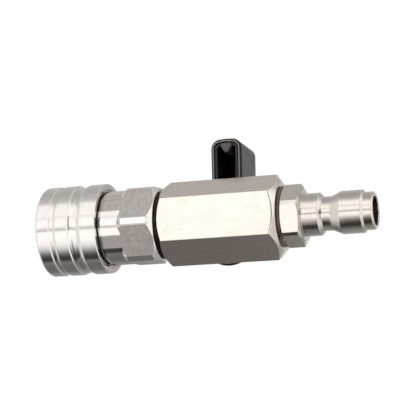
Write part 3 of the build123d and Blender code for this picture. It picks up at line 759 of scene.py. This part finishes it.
def leverHalf(inset, draft):
    # right half of the lever's outline from the top down to the hub's side, x across and y up
    s = handleSize
    tip = s["tipWidth"] / 2 - inset
    root = s["rootWidth"] / 2 - inset
    top = s["top"] - inset
    shoulder = top - s["dome"]
    domeRadius = (tip * tip + s["dome"] ** 2) / (2 * s["dome"])
    dome = Vector((0, top - domeRadius))
    along = Vector((tip - root, shoulder)).normalized()
    outward = Vector((along.y, -along.x))
    reach = outward.dot(Vector((tip, shoulder)))
    corner = max(s["cornerRadius"] - inset, s["leastCorner"])
    hub = s["hub"] - inset
    blend = s["blend"] + inset
    base = outward * (reach - corner)
    half = along.dot(base - dome)
    rest = (base - dome).length_squared - (domeRadius - corner) ** 2
    cornerCentre = base + along * (-half + math.sqrt(half * half - rest))
    away = reach + blend
    blendCentre = outward * away + along * math.sqrt((hub + blend) ** 2 - away ** 2)
    toCorner = cornerCentre - dome
    domeEnd = math.atan2(toCorner.y, toCorner.x)
    sideAngle = math.atan2(outward.y, outward.x)
    points = arcBetween(dome, domeRadius - draft, math.pi / 2, domeEnd, 6)
    points += arcBetween(cornerCentre, max(corner - draft, s["leastDrafted"]), domeEnd, sideAngle, 8)
    topOfSide = points[-1]
    footOfSide = blendCentre - outward * (blend + draft)
    points += [topOfSide.lerp(footOfSide, k / 14) for k in range(1, 14)]
    hubSide = math.atan2(blendCentre.y, blendCentre.x)
    points += arcBetween(blendCentre, blend + draft, sideAngle + math.pi, hubSide + math.pi, 7)
    points += arcBetween(Vector((0, 0)), hub - draft, hubSide, 0, 8)[1:]
    return points


def handleOutline(inset, draft, skirted):
    # closed outline; below the hub's side it is the hub's round, or the skirt's
    s = handleSize
    right = leverHalf(inset, draft)
    radius = s["hub"] - inset - draft
    lower = []
    flat = 3
    count = 36
    for k in range(1, count):
        if skirted:
            if k <= flat:
                lower.append(Vector((radius, -s["hubTail"] * k / flat)))
            elif k >= count - flat:
                lower.append(Vector((-radius, -s["hubTail"] * (count - k) / flat)))
            else:
                a = math.pi * (k - flat) / (count - 2 * flat)
                lower.append(Vector((radius * math.cos(a), -s["hubTail"] - radius * math.sin(a))))
        else:
            a = math.pi * k / count
            lower.append(Vector((radius * math.cos(a), -radius * math.sin(a))))
    left = [Vector((-p.x, p.y)) for p in reversed(right)][:-1]
    return right + lower + left


def handleMesh():
    s = handleSize
    slope = math.tan(math.radians(s["draft"]))
    rim = s["rim"]
    crestOut, crestIn = s["crest"]
    footOut, footUp = s["crestFoot"]
    trenchOut = crestIn + s["trenchLean"]
    trenchIn = s["trench"] - s["trenchLean"]
    # from the back over the rim into the hollow: inset, height, whether the skirt is drawn, rounding
    shell = [
        (0, s["back"], False, s["backRadius"]), (0, s["skirtBack"], False, 0.25),
        (0, s["skirtBack"], True, 0.4), (0, rim + s["rimRound"], True, 0.4),
        (crestOut - footOut, rim + footUp, True, 0.08), (crestOut, rim, True, 0.1),
        (crestIn, rim, True, 0.1), (trenchOut, s["trenchFloor"], True, 0.05),
        (trenchIn, s["trenchFloor"], True, 0.05),
        (s["trench"], rim + s["ledge"], True, 0.1), (s["wall"], rim + s["ledge"], True, 0.2),
        (s["wall"], s["skirtFloor"], True, 0.25), (s["wall"], s["skirtFloor"], False, 0.3),
        (s["wall"], s["webFront"], False, 0.9),
    ]
    outlines = [handleOutline(inset, (y - rim) * slope, skirted) for inset, y, skirted, rounding in shell]
    rings = []
    for index, spot in enumerate(outlines[0]):
        direction = spot.normalized()
        socket = min(s["socket"], s["socketFlats"] / max(abs(direction.y), 1e-4))
        # round the stem: radius, height, rounding
        bore = [
            (s["boss"], s["webFront"], 0.6), (s["boss"], s["bossFace"], 0.35),
            (socket, s["bossFace"], 0.25), (socket, s["socketEnd"], 0),
            (s["screwHole"], s["socketEnd"], 0), (s["screwHole"], s["pocketFloor"], 0),
            (s["pocket"], s["pocketFloor"], 0.1), (s["pocket"], s["back"], 0.3),
        ]
        loop = [(Vector((outline[index].x, y, outline[index].y)), rounding)
                for outline, (inset, y, skirted, rounding) in zip(outlines, shell)]
        loop += [(Vector((direction.x * radius, y, direction.y * radius)), rounding)
                 for radius, y, rounding in bore]
        rings.append(roundedLoop(loop, 4))
    return gridMesh("handle", rings)


def ribMesh(angle):
    # radial rib between the boss and the hub's wall, with rounded free edges
    s = ribSize
    a = math.radians(angle)
    out = Vector((math.sin(a), 0, math.cos(a)))
    side = Vector((math.cos(a), 0, -math.sin(a)))
    up = Vector((0, 1, 0))
    half = s["thickness"] / 2
    low = handleSize["rim"] + s["behindRim"]
    edge = [(half, handleSize["webFront"] + s["rooted"]), (half, low + s["edgeRound"]),
            (half - s["edgeBevel"], low + s["edgeBevel"]), (half - s["edgeRound"], low)]
    section = [(-u, v) for u, v in edge] + list(reversed(edge))
    return loftMesh("handleRib", [[out * radius + side * u + up * v for u, v in section]
                                  for radius in s["reach"]])


def gussetMesh():
    # short pointed rib that joins the end wall of the lever to its floor, tapering down and inwards
    s = gussetSize
    shareWide, drop = s["shoulder"]
    edge = [(s["half"], s["top"]), (s["half"] * shareWide, s["top"] - drop), (s["pointHalf"], s["point"])]
    face = edge + [(-x, z) for x, z in reversed(edge)]
    steps = [(s["face"] + depth, share) for depth, share in s["steps"]]
    steps.append((handleSize["webFront"] + s["rooted"], s["rootShare"]))
    return loftMesh("handleGusset", [[(x * share, y, s["top"] + (z - s["top"]) * share) for x, z in face]
                                     for y, share in steps])


def handleFinish(centre, normal):
    # painted shade: the rim's outer round and the trench beside the crest get the darker, duller nylon; the
    # ledge by the hollow does not
    s = handleSize
    depth = centre.y - s["rim"]
    outerRound = s["shadeFrom"] < depth < s["rimRound"] + s["shadePast"] and normal.y < s["shadeLean"]
    trench = s["ledge"] + s["trenchWall"] < depth < s["trenchFloor"] - s["rim"] + s["trenchPast"]
    onLedge = abs(depth - s["ledge"]) < s["ledgeNear"]
    return 1 if trench or outerRound and not onLedge else 0


handle = finishMesh("handle", handleMesh(), [blackNylon, mattNylon], handleFinish)
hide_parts("handle")
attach(handle, "lever_and_ball")
for number, angle in enumerate(ribSize["angles"]):
    rib = finishMesh("handleRib" + str(number + 1), ribMesh(angle), [blackNylon])
    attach(rib, "lever_and_ball")
# the gusset's grey nylon is a painted highlight on the lever's end wall
gusset = finishMesh("handleGusset", gussetMesh(), [scuffedNylon])
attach(gusset, "lever_and_ball")
print("handle made")


# handle screw with its hexagon key hole, and washer, both turned about the stem's axis

screwSize = {
    "seat": 37.5, "headTop": 39.9, "head": 3.5, "edge": 0.4, "key": 2.51, "keyRound": 0.1, "keyDepth": 1.4,
    "keyCone": 0.5, "keyFloor": 0.86, "keyBevel": (0.2, 0.15), "shank": 2.0, "end": 24.5, "endBevel": 0.4,
}
washerSize = {"bottom": 36.7, "top": 37.5, "outer": 4.0, "inner": 2.2, "edge": 0.15}


def screwSection(angle):
    s = screwSize
    key = hexRadius(angle, s["key"], s["keyRound"], 0)
    low = s["headTop"] - s["keyDepth"]
    bevelOut, bevelDown = s["keyBevel"]
    return [
        (low - s["keyCone"], 0.0, 0), (low, key * s["keyFloor"], 0), (low, key, 0),
        (s["headTop"] - bevelDown, key, 0.05), (s["headTop"], key + bevelOut, 0.05),
        (s["headTop"], s["head"], s["edge"]), (s["seat"], s["head"], 0.12), (s["seat"], s["shank"], 0.1),
        (s["end"] + s["endBevel"], s["shank"], 0), (s["end"], s["shank"] - s["endBevel"], 0),
        (s["end"], 0.0, 0),
    ]


def washerSection(angle):
    s = washerSize
    return [(s["bottom"], s["inner"], 0.05), (s["top"], s["inner"], 0.1), (s["top"], s["outer"], s["edge"]),
            (s["bottom"], s["outer"], 0.05)]


mesh = spunMesh("handleScrew", screwSection, angleSteps(0, 5), about="Y")
screw = finishMesh("handleScrew", mesh, [zincPlated])
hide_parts("handle_screw")
mesh = spunMesh("handleWasher", washerSection, range(0, 360, 5), about="Y")
washer = finishMesh("handleWasher", mesh, [zincPlated])
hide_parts("handle_washer")
for piece in (screw, washer):
    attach(piece, "lever_and_ball")
print("screw and washer made")


# threads and spring: wire that winds along the X axis

windingTree, windingIn, windingOut = nodeTree("winding", {
    "Radius": "NodeSocketFloat", "Start": "NodeSocketFloat", "Length": "NodeSocketFloat",
    "Turns": "NodeSocketFloat", "Wire Radius": "NodeSocketFloat", "Wire Sides": "NodeSocketInt",
    "Points": "NodeSocketInt", "Material": "NodeSocketMaterial"})
spiral = addNode(windingTree, "GeometryNodeCurveSpiral", {
    "Resolution": windingIn.outputs["Points"], "Rotations": windingIn.outputs["Turns"],
    "Start Radius": windingIn.outputs["Radius"], "End Radius": windingIn.outputs["Radius"],
    "Height": windingIn.outputs["Length"]})
upright = addNode(windingTree, "GeometryNodeSetCurveNormal", {"Curve": spiral.outputs[0]}, mode="Z_UP")
wireEnd = addNode(windingTree, "GeometryNodeCurvePrimitiveCircle", {
    "Resolution": windingIn.outputs["Wire Sides"], "Radius": windingIn.outputs["Wire Radius"]})
wound = addNode(windingTree, "GeometryNodeCurveToMesh", {"Curve": upright.outputs[0],
                "Profile Curve": wireEnd.outputs[0], "Fill Caps": True})
shift = addNode(windingTree, "ShaderNodeCombineXYZ", {0: windingIn.outputs["Start"]})
laid = addNode(windingTree, "GeometryNodeTransform", {"Geometry": wound.outputs[0],
               "Translation": shift.outputs[0], "Rotation": (0, math.pi / 2, 0)})
closeTree(windingTree, windingOut, laid.outputs[0], windingIn.outputs["Material"])

# the ends of the two threads, where they show in the joints
threadRidge = {"Radius": 8.2 * mm, "Wire Radius": 0.62 * mm, "Wire Sides": 4, "Points": 60,
               "Material": stainlessTurned}
threadPlaces = {
    "couplerThread": {"Start": -22.2 * mm, "Length": 1.4 * mm, "Turns": 1.5},
    "plugThread": {"Start": 27.9 * mm, "Length": 1.8 * mm, "Turns": 2.0},
}
for name, place in threadPlaces.items():
    thread = growPiece(name, windingTree, {**threadRidge, **place})
    faceOutwards(thread)
    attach(thread, "housing")

# sleeve spring: open wire coil between the barrel's root and the sleeve's shoulder, wound at one length;
# the real one shortens when the sleeve is drawn back
springRear = -53.1 * mm
springLength = 8.85 * mm
springWire = 0.55 * mm
spring = growPiece("sleeveSpring", windingTree, {
    "Radius": 13.3 * mm, "Start": springRear - springLength + springWire,
    "Length": springLength - 2 * springWire, "Turns": 3.0, "Wire Radius": springWire,
    "Wire Sides": 12, "Points": 180, "Material": springSteel})
faceOutwards(spring)
evenShading(spring)
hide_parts("sleeve_spring")
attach(spring, "housing")
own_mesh(spring)
print("threads and spring wound")


# an uneven ring round each of the two thread joints: brown sealant pressed out at the outlet, and at the
# inlet a nearly black ring that is painted shade in the gap

beadTree, beadIn, beadOut = nodeTree("sealantBead", {
    "Radius": "NodeSocketFloat", "Place": "NodeSocketFloat", "Width": "NodeSocketFloat",
    "Unevenness": "NodeSocketFloat", "Seed": "NodeSocketFloat", "Material": "NodeSocketMaterial"})
hoop = addNode(beadTree, "GeometryNodeCurvePrimitiveCircle", {"Resolution": 220,
               "Radius": beadIn.outputs["Radius"]})
beadEnd = addNode(beadTree, "GeometryNodeCurvePrimitiveCircle", {"Resolution": 14,
                  "Radius": beadIn.outputs["Width"]})
swept = addNode(beadTree, "GeometryNodeCurveToMesh", {"Curve": hoop.outputs[0],
                "Profile Curve": beadEnd.outputs[0]})
beadShift = addNode(beadTree, "ShaderNodeCombineXYZ", {0: beadIn.outputs["Place"]})
beadLaid = addNode(beadTree, "GeometryNodeTransform", {"Geometry": swept.outputs[0],
                   "Translation": beadShift.outputs[0], "Rotation": (0, math.pi / 2, 0)})
# lumps about 2.4 mm across, that draw the bead in more than they push it out
beadNoise = addNode(beadTree, "ShaderNodeTexNoise", {"Scale": 420.0, "Detail": 2.0,
                    "W": beadIn.outputs["Seed"]}, noise_dimensions="4D")
beadPush = addNode(beadTree, "ShaderNodeMapRange", {"Value": beadNoise.outputs[0], "From Min": 0.3,
                   "From Max": 0.7, "To Min": -1.0, "To Max": 0.2})
beadScaled = addNode(beadTree, "ShaderNodeMath", {0: beadPush.outputs[0], 1: beadIn.outputs["Unevenness"]},
                     operation="MULTIPLY")
beadNormal = addNode(beadTree, "GeometryNodeInputNormal")
beadOffset = addNode(beadTree, "ShaderNodeVectorMath", {0: beadNormal.outputs[0],
                     "Scale": beadScaled.outputs[0]}, operation="SCALE")
beadMoved = addNode(beadTree, "GeometryNodeSetPosition", {"Geometry": beadLaid.outputs[0],
                    "Offset": beadOffset.outputs[0]})
closeTree(beadTree, beadOut, beadMoved.outputs[0], beadIn.outputs["Material"])

beads = {
    # painted shade: the inlet's ring is nearly black, standing for the shade in the gap
    "inletSealant": {"Radius": 13.45 * mm, "Place": -21.55 * mm, "Width": 0.54 * mm,
                     "Unevenness": 0.12 * mm, "Seed": 3.0, "Material": darkSealant},
    "outletSealant": {"Radius": 11.7 * mm, "Place": 28.92 * mm, "Width": 0.6 * mm,
                      "Unevenness": 0.2 * mm, "Seed": 8.0, "Material": sealant},
}
for name, values in beads.items():
    bead = growPiece(name, beadTree, values)
    faceOutwards(bead)
    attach(bead, "housing")
print("sealant beads made")


# the remaining solids keep their shape and get their finish: the locking balls are polished, and those
# not listed are rubber rings

finishes = {
    "stop_pin": zincPlated, "stem": zincPlated, "seat_retainer": nickelTurned,
    "snap_ring": springSteel, "ball": polishedBall, "inlet_seat": acetal, "outlet_seat": acetal,
    "stem_thrust_washer": acetal,
}
for nodeName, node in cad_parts.items():
    material = finishes.get(nodeName)
    if material is None:
        material = polishedBall if nodeName.startswith("locking_ball") else nitrile
    node.data.materials.clear()
    node.data.materials.append(material)
print("inner solids finished")


# floor, light and camera

studio = {"floorHeight": -0.135, "floorColour": "#F4F3F1", "floorSize": 1.2, "inletLevel": 0.55}
# matt white board; from underneath it is clear, so that the object can be looked at from below
floorMaterial, floorTree = newMaterial("matt white board")
floorShader = addNode(floorTree, "ShaderNodeBsdfDiffuse", {"Color": linear(studio["floorColour"])})
fromBelow = addNode(floorTree, "ShaderNodeNewGeometry")
clear = addNode(floorTree, "ShaderNodeBsdfTransparent")
boardMix = addNode(floorTree, "ShaderNodeMixShader", {0: fromBelow.outputs["Backfacing"],
                   1: floorShader.outputs[0], 2: clear.outputs[0]})
addNode(floorTree, "ShaderNodeOutputMaterial", {0: boardMix.outputs[0]})
floorMesh = bpy.data.meshes.new("floor")
half = studio["floorSize"] / 2
floorCorners = ((-half, -half), (half, -half), (half, half), (-half, half))
floorMesh.from_pydata([(x, y, studio["floorHeight"]) for x, y in floorCorners], [], [(0, 1, 2, 3)])
floorMesh.materials.append(floorMaterial)
floor = addObject("floor", floorMesh)
floor.visible_glossy = False

# brightness all round the object, by the angle about X in degrees: 0 towards the viewer, 90 up, -90 down
roomLight = [
    (-180, 0.45), (-161, 0.36), (-149, 0.33), (-135, 0.22), (-120, 0.19), (-105, 0.20), (-93, 0.26),
    (-88, 0.08), (-79, 0.05), (-73, 0.12), (-67, 0.22), (-60, 0.48), (-52, 0.90), (-44, 1.20),
    (-36, 1.40), (-16, 1.55), (-6.5, 1.42), (-4, 0.72), (0, 0.92), (6, 1.45), (26, 1.42), (29, 1.12),
    (33, 1.40), (64, 1.34), (70, 0.98), (75, 0.76), (82, 0.70), (106, 0.57), (129, 0.61), (152, 0.62),
    (180, 0.9),
]
# share of that brightness left on the outlet's side of square on
sideShare = [
    (-180, 1), (-124, 1), (-116, 0.1), (-54, 0.1), (-38, 1), (-6, 1), (-3, 0.08), (29, 0.08), (32, 1),
    (180, 1),
]
# brightness in the strip of room that the plug's lands mirror
plugLight = [
    (-180, 0.70), (-153, 0.50), (-128, 0.38), (-108, 0.30), (-94, 0.16), (-84, 0.065), (-72, 0.045),
    (-62, 0.07), (-54, 0.14), (-44, 0.36), (-33, 0.82), (-23, 1.42), (-15, 1.66), (-8, 1.64), (-5, 1.40),
    (-1.5, 0.80), (2, 0.80), (6, 1.40), (11, 1.60), (20, 1.64), (24, 1.50), (28, 1.10), (32, 1.50),
    (39, 1.66), (48, 1.58), (54, 1.40), (62, 1.00), (70, 0.70), (80, 0.58), (98, 0.54), (134, 0.64),
    (180, 0.70),
]
# brightness seen past the outlet end
outletLight = [
    (-180, 0.92), (-145, 0.85), (-115, 0.95), (-92, 1.25), (0, 1.38), (75, 1.38), (116, 1.45), (128, 1.42),
    (142, 1.12), (150, 1.0), (180, 0.92),
]
brightest = 2.0  # a ramp's colour of 1 stands for this brightness

world = bpy.data.worlds.new("studio")
bpy.context.scene.world = world
world.use_nodes = True
worldTree = world.node_tree
worldTree.nodes.clear()
skyPlace = addNode(worldTree, "ShaderNodeTexCoord")
skyParts = addNode(worldTree, "ShaderNodeSeparateXYZ", {0: skyPlace.outputs["Generated"]})
alongFlow, acrossRoom = skyParts.outputs[0], skyParts.outputs[1]
toViewer = addNode(worldTree, "ShaderNodeMath", {0: acrossRoom, 1: -1.0}, operation="MULTIPLY")
skyAngle = addNode(worldTree, "ShaderNodeMath", {0: skyParts.outputs[2], 1: toViewer.outputs[0]},
                   operation="ARCTAN2")
skyTurn = addNode(worldTree, "ShaderNodeMapRange", {0: skyAngle.outputs[0], 1: -math.pi, 2: math.pi})


def brightnessRound(levels, whole=brightest):
    # a ramp through (angle, brightness) pairs, from -180 to 180 degrees round the X axis
    node = addNode(worldTree, "ShaderNodeValToRGB", {0: skyTurn.outputs[0]})
    stops = node.color_ramp.elements
    stops[0].position = 0.0
    stops[1].position = 1.0
    while len(stops) < len(levels):
        stops.new(0.5)
    for stop, (angle, level) in zip(stops, levels):
        stop.position = (angle + 180) / 360
        stop.color = (level / whole, level / whole, level / whole, 1)
    return node.outputs[0]


frontLight = brightnessRound(roomLight)
sideLight = addNode(worldTree, "ShaderNodeVectorMath", {0: frontLight, 1: brightnessRound(sideShare, 1)},
                    operation="MULTIPLY")
outletWay = addNode(worldTree, "ShaderNodeMath", {0: acrossRoom, 1: 0.5, 2: alongFlow},
                    operation="MULTIPLY_ADD")
# each part of the room fades in between two places along its own measure of a direction
fades = {
    "towardsOutlet": (alongFlow, 0.03, 0.12), "plugFrom": (alongFlow, -0.249, -0.238),
    "plugUntil": (alongFlow, -0.08, -0.12), "pastOutlet": (outletWay.outputs[0], 0.44, 0.60),
    "outletNear": (alongFlow, 0.60, 0.82), "pastInlet": (alongFlow, -0.6, -0.9),
}
share = {}
for name, (measure, none, full) in fades.items():
    fade = addNode(worldTree, "ShaderNodeMapRange", {0: measure, 1: none, 2: full},
                   interpolation_type="SMOOTHSTEP")
    share[name] = fade.outputs[0]
share["plug"] = addNode(worldTree, "ShaderNodeMath", {0: share["plugFrom"], 1: share["plugUntil"]},
                        operation="MULTIPLY").outputs[0]
outletDim = addNode(worldTree, "ShaderNodeMapRange", {0: share["outletNear"], 3: 0.56})
outletLevel = addNode(worldTree, "ShaderNodeVectorMath", {
    0: brightnessRound(outletLight), "Scale": outletDim.outputs[0]}, operation="SCALE")
inletGrey = (studio["inletLevel"], studio["inletLevel"], studio["inletLevel"], 1)
roomColour = frontLight
for name, light in (("towardsOutlet", sideLight.outputs[0]), ("plug", brightnessRound(plugLight)),
                    ("pastOutlet", outletLevel.outputs[0]), ("pastInlet", inletGrey)):
    blend = addNode(worldTree, "ShaderNodeMix", {"Factor": share[name], 6: roomColour, 7: light},
                    data_type="RGBA")
    roomColour = blend.outputs[2]
studioLight = addNode(worldTree, "ShaderNodeBackground", {"Color": roomColour, "Strength": brightest})
whiteRoom = addNode(worldTree, "ShaderNodeBackground", {"Color": (1, 1, 1, 1), "Strength": 1.0})
rays = addNode(worldTree, "ShaderNodeLightPath")
# a mirrored ray that runs straight away from the viewer meets the white too
behind = addNode(worldTree, "ShaderNodeMapRange", {0: acrossRoom, 1: 0.93, 2: 0.99})
shiny = addNode(worldTree, "ShaderNodeMath", {0: rays.outputs["Is Glossy Ray"],
                1: rays.outputs["Is Transmission Ray"]}, operation="MAXIMUM")
shinyBehind = addNode(worldTree, "ShaderNodeMath", {0: shiny.outputs[0], 1: behind.outputs[0]},
                      operation="MULTIPLY")
showWhite = addNode(worldTree, "ShaderNodeMath", {
    0: rays.outputs["Is Camera Ray"], 1: shinyBehind.outputs[0]}, operation="MAXIMUM")
roomMix = addNode(worldTree, "ShaderNodeMixShader", {0: showWhite.outputs[0], 1: studioLight.outputs[0],
                  2: whiteRoom.outputs[0]})
addNode(worldTree, "ShaderNodeOutputWorld", {0: roomMix.outputs[0]})

softbox = {"width": 0.16, "height": 0.10, "distance": 0.60, "power": 0.018,
           "way": (-0.302, -0.941, 0.152), "aim": (0, -0.016, 0.01)}
softboxData = bpy.data.lights.new("softbox", "AREA")
softboxData.shape = "RECTANGLE"
softboxData.size = softbox["width"]
softboxData.size_y = softbox["height"]
softboxData.energy = softbox["power"]
softboxLight = addObject("softbox", softboxData)
softboxWay = Vector(softbox["way"]).normalized()
softboxLight.location = Vector(softbox["aim"]) + softboxWay * softbox["distance"]
softboxLight.rotation_euler = softboxWay.to_track_quat("Z", "Y").to_euler()

# the photograph's viewpoint: turned a little to the right of square on and a little below the axis;
# the focal length and the frame's width are in pixels
view = {"azimuth": 17.8064, "elevation": -8.7188, "roll": -1.3024, "distance": 648.1431,
        "focal": 1600.8525, "frame": 416.0, "sensor": 36.0, "aimX": -3.2179, "aimZ": 5.7084}
az, el, roll = (math.radians(view[k]) for k in ("azimuth", "elevation", "roll"))
backwards = Vector((math.sin(az) * math.cos(el), -math.cos(az) * math.cos(el), math.sin(el)))
level = Vector((math.cos(az), math.sin(az), 0))
upwards = backwards.cross(level)
right = level * math.cos(roll) + upwards * math.sin(roll)
up = upwards * math.cos(roll) - level * math.sin(roll)
cameraData = bpy.data.cameras.new("camera")
cameraData.sensor_fit = "HORIZONTAL"
cameraData.sensor_width = view["sensor"]
cameraData.lens = view["focal"] * view["sensor"] / view["frame"]
cameraData.clip_start = 0.01
camera = addObject("camera", cameraData)
eye = (Vector((view["aimX"], 0, view["aimZ"])) + backwards * view["distance"]) * mm
camera.matrix_world = Matrix((
    (right.x, up.x, backwards.x, eye.x), (right.y, up.y, backwards.y, eye.y),
    (right.z, up.z, backwards.z, eye.z), (0, 0, 0, 1)))
bpy.context.scene.camera = camera
bpy.context.scene.view_settings.view_transform = "Standard"
print("floor, light and camera set")
